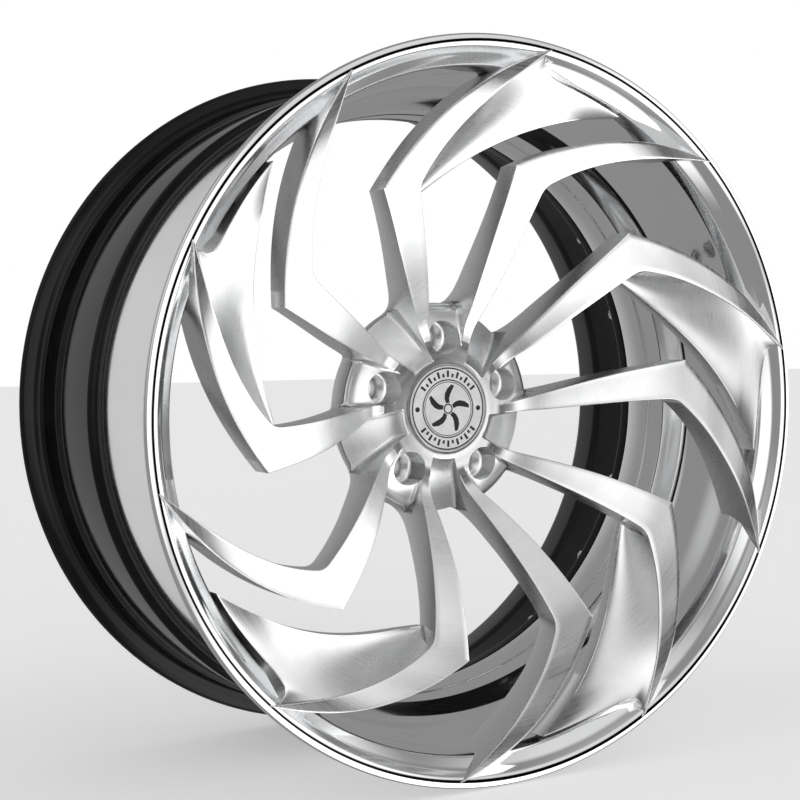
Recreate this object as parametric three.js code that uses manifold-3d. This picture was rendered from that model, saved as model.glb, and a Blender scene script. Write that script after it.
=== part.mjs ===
// A 22 x 11 inch multi-piece forged wheel: a directional ten-spoke centre whose tips lie over a
// polished outer rim half, a gloss black inner rim half bolted on behind it, a centre cap and a valve.
// Millimetres, +Z up. The wheel spins about Y and its street face looks along -Y.
// The origin is on the spin axis, midway between the frontmost and rearmost faces.
import * as THREE from 'three';
import { mergeVertices } from 'three/addons/utils/BufferGeometryUtils.js';
import { LoftGeometry } from 'three/addons/geometries/LoftGeometry.js';
import Module from 'manifold-3d';

const wasm = await Module();
wasm.setup();

// Driving dimensions.
const FLANGE_RADIUS = 299.3; // outer radius of both tyre flanges
const FLANGE_PLANE = -149; // y of the front flange's datum plane, from which depths are measured
const RIM_SEGMENTS = 48;
const HUB_SEGMENTS = 40;
const SPOKES = 10;
const SPOKE_PITCH = 360 / SPOKES;
const LUGS = 5;
const LUG_PITCH = 360 / LUGS;
const LUG_START = -1; // angle of the first lug hole
const LUG_CIRCLE = 60; // radius of the bolt circle that holds the wheel on its hub
const PAD_DEPTH = 135; // the mounting face, behind the front flange plane
const PAD_RADIUS = 80;
const HUB_RADIUS = 90;
const HUB_BORE = 36.3;
const CAP_BORE = 33.2;
const CAP_SEAT = 36.9;
const JOINT_DEPTH = 174.2; // where the two rim halves meet
const ASSEMBLY_BOLTS = 20;
const BOLT_CIRCLE = 258.8;
const BOLT_SHANK = 4;
const BOLT_HOLE = 4.7;
const BOLT_SEGMENTS = 8;
const BOLT_SEAT_DEPTH = 186.6; // rear face of the inner half's joining flange
const VALVE_ANGLE = 63.75; // square to one flat of the rim wall
const VALVE_DEPTH = 72;
const VALVE_HOLE = 4.5;
const GAP = 0.3; // clearance between pieces that touch
const CLEAR = 5; // how far a cutter runs past the face it cuts

const colour = (hex, roughness, metalness) => new THREE.MeshStandardMaterial({
  color: hex,
  roughness,
  metalness,
});
const BRUSHED = colour(0xd4d5d6, 0.38, 1);
const POLISHED = colour(0xe2e3e5, 0.08, 1);
const GLOSS_BLACK = colour(0x0b0b0c, 0.12, 0);
const BOLT_STEEL = colour(0xa8a9ab, 0.3, 1);
const CAP_SILVER = colour(0xdadadb, 0.32, 0.8);
const CAP_PRINT = colour(0xe6e6e6, 0.3, 0.2);
const SPRING_STEEL = colour(0x8b8d90, 0.35, 1);
const BRASS = colour(0xb59a58, 0.35, 1);
const NICKEL = colour(0xc9c8c4, 0.25, 1);
const RUBBER = colour(0x161616, 0.8, 0);
const SEALANT = colour(0x1c1c1e, 0.6, 0);

// Polar helpers: angles in degrees run clockwise from +Z as the street face is seen.
// Radii of the spoke curves are fractions of the flange radius.
function planPoint(fraction, degrees) {
  const angle = THREE.MathUtils.degToRad(degrees);
  const radius = fraction * FLANGE_RADIUS;
  return new THREE.Vector2(radius * Math.sin(angle), radius * Math.cos(angle));
}

const plan = (points) => points.map(([fraction, degrees]) => planPoint(fraction, degrees));

// Turns a profile of [radius, depth behind the flange plane] corners round the spin axis.
function lathe(profile, segments) {
  const corners = [...profile, profile[0]];
  const points = corners.map(([radius, depth]) => new THREE.Vector2(radius, FLANGE_PLANE + depth));
  return new THREE.LatheGeometry(points, segments);
}

// Extrudes a plan outline, drawn in x and z, between two depths.
function slab(shape, fromDepth, toDepth, curveSegments) {
  const depth = toDepth - fromDepth;
  const geometry = new THREE.ExtrudeGeometry(shape, { depth, bevelEnabled: false, curveSegments });
  geometry.rotateX(Math.PI / 2);
  geometry.translate(0, FLANGE_PLANE + toDepth, 0);
  return geometry;
}

// A closed geometry as a solid whose faces point out.
function solid(geometry) {
  const bare = new THREE.BufferGeometry().copy(geometry);
  bare.deleteAttribute('normal');
  bare.deleteAttribute('uv');
  const merged = mergeVertices(bare, 1e-3);
  const vertProperties = merged.attributes.position.array;
  const corners = merged.index.array;
  const kept = [];
  let volume = 0;
  for (let i = 0; i < corners.length; i += 3) {
    const [a, b, c] = [corners[i], corners[i + 1], corners[i + 2]];
    if (a !== b && b !== c && c !== a) {
      kept.push(a, b, c);
      const [p, q, r] = [a, b, c].map((n) => new THREE.Vector3().fromArray(vertProperties, 3 * n));
      volume += p.dot(q.cross(r));
    }
  }
  if (volume < 0) kept.reverse();
  return new wasm.Manifold(new wasm.Mesh({
    numProp: 3,
    vertProperties,
    triVerts: new Uint32Array(kept),
  }));
}

function geometryOf(body) {
  const { vertProperties, triVerts } = body.getMesh();
  const geometry = new THREE.BufferGeometry();
  geometry.setAttribute('position', new THREE.BufferAttribute(new Float32Array(vertProperties), 3));
  geometry.setIndex(new THREE.BufferAttribute(new Uint32Array(triVerts), 1));
  geometry.computeVertexNormals();
  return geometry;
}

function turned(geometry, degrees) {
  return new THREE.BufferGeometry().copy(geometry).rotateY(THREE.MathUtils.degToRad(degrees));
}

const wheel = new THREE.Group();
wheel.name = 'forged_wheel_rim';

function add(name, geometry, material, parent = wheel) {
  const mesh = new THREE.Mesh(geometry, material);
  mesh.name = name;
  parent.add(mesh);
  return mesh;
}

// ---- Forged centre ----

// The concave street face of the spokes, from the hub out to the tips.
const FACE = [
  [60, 93.6], [88, 78.1], [120, 56.2], [152, 38.2], [184, 23.9], [216, 12.8], [252, 0.8],
  [270, -2.4], [293.2, -3.4],
];
// The underside of the tips, which follows the lip of the outer rim half.
const FOOT = [
  [293.2, -2.6], [289.3, -1.3], [283.9, 5.6], [275, 12.7], [271.2, 25], [270.8, 38],
];
// The back of the spokes, from the rim in to the mounting pad.
const BACK = [
  [215, 40], [183.8, 49.7], [151.7, 67.4], [120, 91.6], [94, 118], [HUB_RADIUS - 1, PAD_DEPTH - 4],
  [PAD_RADIUS, PAD_DEPTH],
];
const SPOKE_ROOT = 52;

function faceDepth(radius) {
  const next = FACE.findIndex(([r]) => r >= radius);
  const [r0, d0] = FACE[Math.max(next - 1, 0)];
  const [r1, d1] = FACE[next];
  return d0 + ((d1 - d0) * (radius - r0)) / (r1 - r0 || 1);
}

const envelope = solid(lathe([
  [SPOKE_ROOT, 94], ...FACE, ...FOOT, ...BACK, [SPOKE_ROOT, PAD_DEPTH],
], RIM_SEGMENTS));
const insideLip = solid(lathe([
  [SPOKE_ROOT, -8], [293.2, -8], ...FOOT, [270.8, 120], [SPOKE_ROOT, 120],
], RIM_SEGMENTS));

// One spoke in plan: a limb leaning back from the hub to a sharp elbow, then a swept arm to the lip.
const spokeShape = new THREE.Shape();
const limbOuter = plan([[0.155, -18.5], [0.24, -22.6], [0.347, -27.1], [0.5, -29.3],
  [0.6692, -29.3]]);
const armOuter = plan([[0.7389, -20.16], [0.8183, -10.54], [0.9, -0.92], [0.98, 8.5]]);
const armInner = plan([[0.9283, 5.19], [0.8397, -1.82], [0.7593, -8.83], [0.68, -15.75],
  [0.657, -17.7], [0.6365, -18.9], [0.61, -19.7]]);
const limbInner = plan([[0.47, -19.2], [0.335, -17.2], [0.24, -14.6], [0.155, -10.5]]);
spokeShape.moveTo(limbOuter[0].x, limbOuter[0].y);
spokeShape.splineThru(limbOuter.slice(1));
spokeShape.splineThru(armOuter);
spokeShape.splineThru(armInner);
spokeShape.splineThru(limbInner);
spokeShape.closePath();
const spokeSlab = slab(spokeShape, -4 * CLEAR, PAD_DEPTH + CLEAR, 1);

let spokes = null;
for (let k = 0; k < SPOKES; k += 1) {
  const spoke = solid(turned(spokeSlab, k * SPOKE_PITCH));
  spokes = spokes ? spokes.add(spoke) : spoke;
}
spokes = spokes.intersect(envelope);

// Every other spoke carries a scooped web. It hangs from the inner edge of the arm, falls to a free
// edge behind it, and ends in a straight edge that leaves a narrow slot before the lip.
const WEB_STATIONS = 8;
const WEB_STEPS = 4;
const WEB_ROOT_OVERLAP = 5;
const WEB_SHOULDER = 1.2; // drop from the arm's face to the web
const WEB_ROOT_THICKNESS = 8.5;
const WEB_TIP_THICKNESS = 16.5;
const WEB_BELLY = 0.45; // where across the web its back is thickest
const WEB_BELLY_THICKNESS = 1.35; // there, as a multiple of the edge's thickness
const SCOOP_POWER = 1.9;
const webRidge = new THREE.CatmullRomCurve3([[0.66, -17.6], [0.7593, -8.83], [0.8397, -1.82],
  [0.93, 5.6]].map(([fraction, degrees]) => {
  const p = planPoint(fraction, degrees);
  return new THREE.Vector3(p.x, faceDepth(fraction * FLANGE_RADIUS) + WEB_SHOULDER, p.y);
}));
const webEdge = new THREE.CatmullRomCurve3([[0.606, -18.9, 0.147], [0.6502, -7.98, 0.135],
  [0.7263, 3.61, 0.0986], [0.8121, 15.21, 0.0613], [0.9077, 26.8, 0.0413]].map(
  ([fraction, degrees, depth]) => {
    const p = planPoint(fraction, degrees);
    return new THREE.Vector3(p.x, depth * FLANGE_RADIUS, p.y);
  },
));

function webSection(station) {
  const ridge = webRidge.getPoint(station);
  const edge = webEdge.getPoint(station);
  const thickness = THREE.MathUtils.lerp(WEB_ROOT_THICKNESS, WEB_TIP_THICKNESS, station);
  const inward = new THREE.Vector3(ridge.x - edge.x, 0, ridge.z - edge.z).normalize();
  const root = ridge.clone().addScaledVector(inward, WEB_ROOT_OVERLAP);
  const section = [root];
  for (let i = 0; i <= WEB_STEPS; i += 1) {
    const across = i / WEB_STEPS;
    const fall = 1 - (1 - across) ** SCOOP_POWER;
    const point = ridge.clone().lerp(edge, across);
    point.y = THREE.MathUtils.lerp(ridge.y, edge.y, fall);
    section.push(point);
  }
  section.push(new THREE.Vector3(edge.x, edge.y + thickness, edge.z));
  const middle = ridge.clone().lerp(edge, WEB_BELLY);
  const belly = (ridge.y + edge.y) / 2 + thickness * WEB_BELLY_THICKNESS;
  section.push(new THREE.Vector3(middle.x, belly, middle.z));
  section.push(new THREE.Vector3(root.x, ridge.y + thickness, root.z));
  return section.map((p) => new THREE.Vector3(p.x, p.y + FLANGE_PLANE, p.z));
}

const webSections = [];
for (let i = 0; i <= WEB_STATIONS; i += 1) webSections.push(webSection(i / WEB_STATIONS));
const webGeometry = new LoftGeometry(webSections, { capStart: true, capEnd: true });

// The hub: a dome round the lug wells, with a rounded trough between every other pair of limbs.
let centre = solid(lathe([
  [HUB_BORE, 91.2], [60, 94.3], [75, 97.5], [86, 104], [HUB_RADIUS, 113],
  [HUB_RADIUS, PAD_DEPTH - 4], [PAD_RADIUS, PAD_DEPTH], [HUB_BORE, PAD_DEPTH],
], HUB_SEGMENTS));
const troughSpace = solid(lathe([
  [42.5, 80], [42.5, 92.6], [48, 98], [66, 107.5], [80, 115.5], [95, 126.5], [95, 80],
], HUB_SEGMENTS));
const troughShape = new THREE.Shape();
const troughSides = plan([[0.31, 14], [0.24, 14], [0.165, 10.5], [0.142, 0], [0.165, -10.5],
  [0.24, -14], [0.31, -14]]);
troughShape.moveTo(troughSides[0].x, troughSides[0].y);
troughShape.lineTo(troughSides[1].x, troughSides[1].y);
troughShape.splineThru(troughSides.slice(2, 6));
troughShape.lineTo(troughSides[6].x, troughSides[6].y);
troughShape.closePath();
const troughSlab = slab(troughShape, 75, 130, 1);
const TROUGH_START = 35.2;

// Lug wells with a flat ring and a cone seat at the bottom.
const lugProfile = [[0, 60], [14.2, 60], [14.2, 117.5], [11.8, 118.5], [7.6, 125.6],
  [7.6, PAD_DEPTH + CLEAR], [0, PAD_DEPTH + CLEAR]];
const lugCutter = lathe(lugProfile, 16);
lugCutter.translate(0, 0, LUG_CIRCLE);
// Shallow relief pockets in the back of the mounting pad, between the lug holes.
const reliefCutter = lathe([[0, PAD_DEPTH - 6], [9, PAD_DEPTH - 6], [10.5, PAD_DEPTH - 4.5],
  [10.5, PAD_DEPTH + CLEAR], [0, PAD_DEPTH + CLEAR]], 12);
reliefCutter.translate(0, 0, LUG_CIRCLE - 2);

for (let k = 0; k < LUGS; k += 1) {
  const trough = solid(turned(troughSlab, TROUGH_START + k * LUG_PITCH)).intersect(troughSpace);
  centre = centre.subtract(trough);
}
centre = centre.add(spokes);
for (let k = 0; k < LUGS; k += 1) {
  centre = centre.add(solid(turned(webGeometry, k * LUG_PITCH)).intersect(insideLip));
  centre = centre.subtract(solid(turned(lugCutter, LUG_START + k * LUG_PITCH)));
  centre = centre.subtract(solid(turned(reliefCutter, LUG_START + (k + 0.5) * LUG_PITCH)));
}
centre = centre.subtract(solid(lathe([
  [0, 60], [CAP_SEAT, 60], [CAP_SEAT, 93.3], [CAP_BORE, 93.3], [CAP_BORE, 112], [HUB_BORE, 114],
  [HUB_BORE, PAD_DEPTH + CLEAR], [0, PAD_DEPTH + CLEAR],
], HUB_SEGMENTS)));
add('forged_center', geometryOf(centre), BRUSHED);

// ---- Rim halves ----

let outerHalf = solid(lathe([
  // rolled lip and tyre side
  [293.5, -2.2], [298.2, -1], [FLANGE_RADIUS, 2.4], [297.6, 5.8], [290.5, 9.3], [284, 9.9],
  [281.8, 13.5], [280.1, 33], [281, 38], [279.3, 43], [271.2, 54], [271.2, JOINT_DEPTH - 1],
  [270.2, JOINT_DEPTH],
  // joining flange and the bore behind the spokes
  [249.8, JOINT_DEPTH], [249.8, 144], [251, 142.6], [251.6, 123], [257, 113.5], [264.4, 100],
  [265.8, 62], [271.2, 38],
  // stepped inside of the lip
  [271.6, 25], [275.4, 12.9], [284.3, 5.9], [289.6, -0.9],
], RIM_SEGMENTS));

const REAR_DEPTH = 301.4;
let innerHalf = solid(lathe([
  // joining flange and barrel
  [249.8, JOINT_DEPTH + 0.4], [271, JOINT_DEPTH + 0.4], [272.4, 178], [278.4, 181.5],
  [278, 250], [281, 257], [279.9, 263.5],
  // bead seat and rear flange
  [281.8, 284.5], [284, 288.1], [290.5, 288.9], [297.6, 292.4], [FLANGE_RADIUS, 296.6],
  [297.6, 300.6], [295, REAR_DEPTH], [287.5, REAR_DEPTH], [282, 299.4],
  // inside
  [273.3, 289.6], [269.6, 258], [271.4, 251], [271.4, 194], [267.5, BOLT_SEAT_DEPTH],
  [251, BOLT_SEAT_DEPTH], [249.8, 185],
], RIM_SEGMENTS));

const boltHole = lathe([[0, 158], [BOLT_HOLE, 158], [BOLT_HOLE, 200], [0, 200]], BOLT_SEGMENTS);
boltHole.translate(0, 0, BOLT_CIRCLE);
for (let k = 0; k < ASSEMBLY_BOLTS; k += 1) {
  const hole = solid(turned(boltHole, (k * 360) / ASSEMBLY_BOLTS));
  outerHalf = outerHalf.subtract(hole);
  innerHalf = innerHalf.subtract(hole);
}
// The valve hole goes square through one flat of the outer half's wall.
const valveHole = new THREE.CylinderGeometry(VALVE_HOLE, VALVE_HOLE, 30, 14);
valveHole.rotateX(Math.PI / 2);
valveHole.translate(0, FLANGE_PLANE + VALVE_DEPTH, 268);
outerHalf = outerHalf.subtract(solid(turned(valveHole, VALVE_ANGLE)));
add('outer_rim_half', geometryOf(outerHalf), POLISHED);
add('inner_rim_half', geometryOf(innerHalf), GLOSS_BLACK);

add('joint_seal_bead', geometryOf(solid(lathe([
  [271.55, 170.2], [272.9, 171.2], [273.4, 173.4], [272.9, 175.6], [271.6, 174.4],
], RIM_SEGMENTS))), SEALANT);

// ---- Assembly bolts, screwed in from the back ----

const BOLT_SEAT = BOLT_SEAT_DEPTH + GAP;
const boltGeometry = geometryOf(solid(lathe([
  [0, 160], [BOLT_SHANK, 160], [BOLT_SHANK, BOLT_SEAT], [7, BOLT_SEAT], [7, BOLT_SEAT + 1.8],
  [5.6, BOLT_SEAT + 2.4], [5.6, BOLT_SEAT + 9], [0, BOLT_SEAT + 9],
], BOLT_SEGMENTS)));
for (let k = 0; k < ASSEMBLY_BOLTS; k += 1) {
  const name = `assembly_bolt_${String(k + 1).padStart(2, '0')}`;
  const bolt = add(name, boltGeometry, BOLT_STEEL);
  const at = THREE.MathUtils.degToRad((k * 360) / ASSEMBLY_BOLTS);
  bolt.position.set(BOLT_CIRCLE * Math.sin(at), 0, BOLT_CIRCLE * Math.cos(at));
  bolt.rotation.y = at;
}

// ---- Centre cap ----

const CAP_SEGMENTS = 32;
add('center_cap', geometryOf(solid(lathe([
  [0, 90.6], [35.4, 90.6], [35.4, 89.9], [36, 89.9], [36.5, 90.4], [36.5, 93], [32.8, 93],
  [32.8, 99.5], [32, 99.5], [32, 101.7], [32.8, 101.7], [32.8, 106], [30.4, 106], [30.4, 94],
  [0, 94],
], CAP_SEGMENTS))), CAP_SILVER);
add('cap_emblem_disc', geometryOf(solid(lathe([
  [0, 89.7], [34.6, 89.7], [35, 90], [35, 90.3], [0, 90.3],
], CAP_SEGMENTS))), CAP_PRINT);
add('cap_spring_ring', geometryOf(solid(lathe([
  [32.35, 100.1], [32.85, 100.1], [32.85, 101.1], [32.35, 101.1],
], CAP_SEGMENTS))), SPRING_STEEL);

// ---- Valve, through the wall of the outer half ----

// Inside this group +Z is the outward radius through the valve hole.
const valve = new THREE.Group();
valve.rotation.y = THREE.MathUtils.degToRad(VALVE_ANGLE);
valve.position.y = FLANGE_PLANE + VALVE_DEPTH;
wheel.add(valve);

// Turns a profile of [radius, height] corners round the valve's axis; heights are wheel radii.
function valvePiece(name, profile, segments, material) {
  const corners = [...profile, profile[0]];
  const points = corners.map(([radius, height]) => new THREE.Vector2(radius, height));
  const geometry = new THREE.LatheGeometry(points, segments);
  geometry.rotateX(Math.PI / 2);
  return add(name, geometryOf(solid(geometry)), material, valve);
}

valvePiece('valve_stem', [
  [1.9, 235.2], [3.6, 235.2], [4.1, 236.2], [4.1, 273.6], [7.2, 273.6], [7.2, 275.2], [6.4, 276],
  [1.9, 276],
], 14, NICKEL);
valvePiece('valve_seal', [[4.4, 270.95], [7.4, 270.95], [7.4, 273.3], [4.4, 273.3]], 14, RUBBER);
valvePiece('valve_nut', [
  [5.1, 259], [6.8, 259], [8, 259.8], [8, 263.9], [5.1, 263.9],
], 6, NICKEL);
valvePiece('valve_core', [[1, 238], [1.6, 238], [1.6, 258], [1, 258]], 12, BRASS);
valvePiece('valve_core_pin', [[0, 235.9], [0.7, 235.9], [0.7, 260], [0, 260]], 10, BRASS);
valvePiece('valve_cap', [
  [0, 231.2], [4.9, 231.2], [5.6, 232.2], [5.6, 247.5], [4.4, 247.5], [4.4, 234.2], [0, 234.2],
], 14, NICKEL);

export default wheel;
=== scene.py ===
import math

import bmesh
import bpy
import numpy as np
from mathutils import Matrix, Vector


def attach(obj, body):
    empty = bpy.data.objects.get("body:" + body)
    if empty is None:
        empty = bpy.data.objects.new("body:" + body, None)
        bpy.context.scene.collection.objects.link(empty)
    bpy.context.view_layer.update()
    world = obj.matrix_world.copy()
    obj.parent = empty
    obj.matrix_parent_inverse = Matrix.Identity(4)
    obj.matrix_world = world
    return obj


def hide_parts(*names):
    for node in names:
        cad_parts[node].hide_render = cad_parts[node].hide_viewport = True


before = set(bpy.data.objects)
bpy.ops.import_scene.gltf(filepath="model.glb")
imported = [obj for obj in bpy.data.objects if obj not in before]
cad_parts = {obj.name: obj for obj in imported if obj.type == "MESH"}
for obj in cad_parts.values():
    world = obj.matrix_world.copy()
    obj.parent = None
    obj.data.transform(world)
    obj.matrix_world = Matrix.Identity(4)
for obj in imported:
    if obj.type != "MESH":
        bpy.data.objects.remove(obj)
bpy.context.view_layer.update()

# Metres in the scene. Shapes are worked out in millimetres: a radius from the spin axis, an angle in
# degrees clockwise from +Z as the street face is seen, and a depth behind the front flange plane.
MM = 0.001
FLANGE_RADIUS = 299.3
FLANGE_PLANE = -149.0
SPOKE_PITCH = 36.0
LUG_PITCH = 72.0
LUG_START = -1.0
LUG_CIRCLE = 60.0


# ---- Curves and meshes ----

def spline(points):
    """A natural cubic spline through (x, y) pairs, as a function of x."""
    xs, ys = (np.array(column, float) for column in zip(*sorted(points)))
    n = len(xs)
    h = np.diff(xs)
    system = np.eye(n)
    right = np.zeros(n)
    for i in range(1, n - 1):
        system[i, i - 1:i + 2] = h[i - 1], 2 * (h[i - 1] + h[i]), h[i]
        right[i] = 6 * ((ys[i + 1] - ys[i]) / h[i] - (ys[i] - ys[i - 1]) / h[i - 1])
    bend = np.linalg.solve(system, right)

    def value(x):
        x = np.clip(np.asarray(x, float), xs[0], xs[-1])
        i = np.clip(np.searchsorted(xs, x) - 1, 0, n - 2)
        a, b, step = xs[i + 1] - x, x - xs[i], h[i]
        return (
            bend[i] * a**3 / (6 * step) + bend[i + 1] * b**3 / (6 * step)
            + (ys[i] / step - bend[i] * step / 6) * a
            + (ys[i + 1] / step - bend[i + 1] * step / 6) * b
        )

    return value


def smoothstep(x, low, high):
    t = np.clip((np.asarray(x, float) - low) / (high - low), 0, 1)
    return t * t * (3 - 2 * t)


def plan(fraction, degrees):
    """Plan point (x, z) in mm of a radius given as a fraction of the flange radius."""
    a = np.radians(degrees)
    r = np.asarray(fraction, float) * FLANGE_RADIUS
    return np.stack([r * np.sin(a), r * np.cos(a)], -1)


def place(x, z, depth):
    """Scene vertices from plan coordinates and depths in mm."""
    x, z, depth = np.broadcast_arrays(x, z, depth)
    return np.stack([x, FLANGE_PLANE + depth, z], -1) * MM


def turn(points, degrees):
    """Points turned clockwise round the spin axis, as the street face is seen."""
    a = math.radians(degrees)
    out = points.copy()
    out[..., 0] = points[..., 0] * math.cos(a) + points[..., 2] * math.sin(a)
    out[..., 2] = -points[..., 0] * math.sin(a) + points[..., 2] * math.cos(a)
    return out


def grid_faces(rows, columns, close_rows=False, close_columns=False, start=0):
    faces = []
    for i in range(rows if close_rows else rows - 1):
        for j in range(columns if close_columns else columns - 1):
            k, m = (i + 1) % rows, (j + 1) % columns
            faces.append((
                start + i * columns + j, start + i * columns + m,
                start + k * columns + m, start + k * columns + j,
            ))
    return faces


def tidy(mesh, sharp=35.0, merge=1e-6):
    """Joins doubled corners, points every face outwards and sets smooth shading with sharp edges."""
    bm = bmesh.new()
    bm.from_mesh(mesh)
    bmesh.ops.remove_doubles(bm, verts=bm.verts, dist=merge)
    bmesh.ops.dissolve_degenerate(bm, edges=bm.edges, dist=1e-7)
    bmesh.ops.recalc_face_normals(bm, faces=bm.faces)
    bm.to_mesh(mesh)
    bm.free()
    mesh.polygons.foreach_set("use_smooth", [True] * len(mesh.polygons))
    mesh.set_sharp_from_angle(angle=math.radians(sharp))
    mesh.update()


def make(name, parts, sharp=35.0, merge=1e-6):
    """One mesh object from (vertices, faces) parts."""
    vertices, faces = [], []
    for points, polygons in parts:
        start = len(vertices)
        vertices.extend(map(tuple, np.asarray(points).reshape(-1, 3)))
        faces.extend(tuple(start + i for i in f) for f in polygons)
    mesh = bpy.data.meshes.new(name)
    mesh.from_pydata(vertices, [], faces)
    tidy(mesh, sharp, merge)
    obj = bpy.data.objects.new(name, mesh)
    bpy.context.scene.collection.objects.link(obj)
    return obj


def finish_piece(obj, body, nodes, material):
    obj.data.materials.clear()
    obj.data.materials.append(material)
    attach(obj, body)
    if nodes:
        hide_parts(*nodes)
    return obj


def lathe(profile, segments):
    """(vertices, faces) of a closed [radius, depth] profile turned round the spin axis."""
    profile = np.array(profile, float)
    angles = np.arange(segments) * 2 * math.pi / segments
    x = np.outer(np.sin(angles), profile[:, 0])
    z = np.outer(np.cos(angles), profile[:, 0])
    points = place(x, z, profile[None, :, 1])
    return points, grid_faces(segments, len(profile), True, True)


def rounded(corners, radius=0.8, steps=3, tight=None):
    """A closed profile whose corners are rounded; tight gives single corners their own radius."""
    corners = [np.array(c, float) for c in corners]
    out = []
    for i, c in enumerate(corners):
        before, after = corners[i - 1], corners[(i + 1) % len(corners)]
        a, b = before - c, after - c
        la, lb = np.linalg.norm(a), np.linalg.norm(b)
        reach = min((tight or {}).get(i, radius), 0.45 * la, 0.45 * lb)
        turn_cos = float(np.dot(a, b) / (la * lb))
        if reach < 1e-6 or turn_cos < -0.995:
            out.append(c)
            continue
        p, q = c + a / la * reach, c + b / lb * reach
        for t in np.linspace(0, 1, steps + 1):
            out.append((1 - t) ** 2 * p + 2 * t * (1 - t) * c + t * t * q)
    return out


def subtract(obj, cutter):
    modifier = obj.modifiers.new("cut", "BOOLEAN")
    modifier.operation = "DIFFERENCE"
    modifier.solver = "EXACT"
    modifier.object = cutter
    graph = bpy.context.evaluated_depsgraph_get()
    cut = bpy.data.meshes.new_from_object(obj.evaluated_get(graph))
    obj.modifiers.clear()
    obj.data = cut
    tidy(cut, 35.0, 2e-6)


def discard(obj):
    mesh = obj.data
    bpy.data.objects.remove(obj)
    bpy.data.meshes.remove(mesh)


def join(objects, name):
    bpy.context.view_layer.update()
    with bpy.context.temp_override(
        active_object=objects[0], object=objects[0],
        selected_objects=objects, selected_editable_objects=objects,
    ):
        bpy.ops.object.join()
    objects[0].name = name
    objects[0].data.name = name
    return objects[0]


# ---- Materials ----

class Nodes:
    """A new node material with its Principled shader."""

    def __init__(self, name, **sockets):
        self.material = bpy.data.materials.new(name)
        self.material.use_nodes = True
        self.tree = self.material.node_tree
        self.shader = self.tree.nodes["Principled BSDF"]
        for key, value in sockets.items():
            self.shader.inputs[key.replace("_", " ")].default_value = value

    def node(self, kind, inputs=None, **settings):
        node = self.tree.nodes.new(kind)
        for key, value in settings.items():
            setattr(node, key, value)
        for key, value in (inputs or {}).items():
            if isinstance(value, bpy.types.NodeSocket):
                self.tree.links.new(value, node.inputs[key])
            else:
                node.inputs[key].default_value = value
        return node

    def math(self, operation, a, b=0.0, c=0.0, clamp=False):
        return self.node("ShaderNodeMath", {0: a, 1: b, 2: c}, operation=operation,
                         use_clamp=clamp).outputs[0]

    def coordinates(self):
        """Object coordinates, and round the spin axis the radius and the angle as an arc length."""
        place_node = self.node("ShaderNodeTexCoord").outputs["Object"]
        split = self.node("ShaderNodeSeparateXYZ", {0: place_node})
        x, y, z = split.outputs
        radius = self.math("SQRT", self.math("ADD", self.math("MULTIPLY", x, x),
                                             self.math("MULTIPLY", z, z)))
        angle = self.math("ARCTAN2", x, z)
        return place_node, radius, angle, y

    def vector(self, x, y, z):
        return self.node("ShaderNodeCombineXYZ", {0: x, 1: y, 2: z}).outputs[0]

    def noise(self, vector, scale, detail=3.0, roughness=0.55):
        return self.node("ShaderNodeTexNoise", {
            "Vector": vector, "Scale": scale, "Detail": detail, "Roughness": roughness,
        }).outputs["Fac"]

    def spread(self, value, low, high, out_low, out_high):
        return self.node("ShaderNodeMapRange", {
            "Value": value, "From Min": low, "From Max": high, "To Min": out_low, "To Max": out_high,
        }).outputs[0]

    def mix(self, factor, a, b):
        node = self.node("ShaderNodeMix", data_type="RGBA")
        for socket, value in ((node.inputs[0], factor), (node.inputs[6], a), (node.inputs[7], b)):
            if isinstance(value, bpy.types.NodeSocket):
                self.tree.links.new(value, socket)
            else:
                socket.default_value = value
        return node.outputs[2]

    def link(self, output, name):
        self.tree.links.new(output, self.shader.inputs[name])

    def bump(self, height, strength, distance):
        node = self.node("ShaderNodeBump", {
            "Height": height, "Strength": strength, "Distance": distance,
        })
        self.link(node.outputs[0], "Normal")


def grey(value, tint=0.0):
    return (value - tint, value, value + tint, 1.0)


def brushed_aluminium(name, tone, rough, circular=True):
    """Satin machined aluminium: fine turned lines, a soft mottle, and paler worn edges."""
    m = Nodes(name, Metallic=1.0, Roughness=rough)
    spot, radius, angle, y = m.coordinates()
    if circular:
        across = m.vector(m.math("MULTIPLY", radius, 2600.0), m.math("MULTIPLY", angle, 3.0),
                          m.math("MULTIPLY", y, 260.0))
    else:
        across = m.vector(m.math("MULTIPLY", radius, 160.0), m.math("MULTIPLY", angle, 14.0),
                          m.math("MULTIPLY", y, 2200.0))
    lines = m.noise(across, 1.0, 2.0, 0.5)
    mottle = m.noise(spot, 55.0, 4.0, 0.6)
    fine = m.noise(spot, 1500.0, 2.0, 0.5)
    worn = m.spread(m.node("ShaderNodeNewGeometry").outputs["Pointiness"], 0.53, 0.6, 0.0, 1.0)
    shade = m.mix(m.spread(lines, 0.3, 0.7, 0.0, 1.0), grey(tone * 0.93, 0.004),
                  grey(min(tone * 1.05, 0.98), 0.002))
    shade = m.mix(m.math("MULTIPLY", m.spread(mottle, 0.35, 0.7, 0.0, 1.0), 0.35), shade,
                  grey(tone * 0.9, 0.006))
    shade = m.mix(m.math("MULTIPLY", worn, 0.5, clamp=True), shade, grey(0.96))
    m.link(shade, "Base Color")
    rougher = m.math("ADD", m.spread(lines, 0.25, 0.75, rough - 0.05, rough + 0.05),
                     m.spread(mottle, 0.3, 0.7, -0.02, 0.03))
    m.link(rougher, "Roughness")
    m.bump(m.math("ADD", lines, m.math("MULTIPLY", fine, 0.5)), 0.12, 0.00006)
    return m.material


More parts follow.
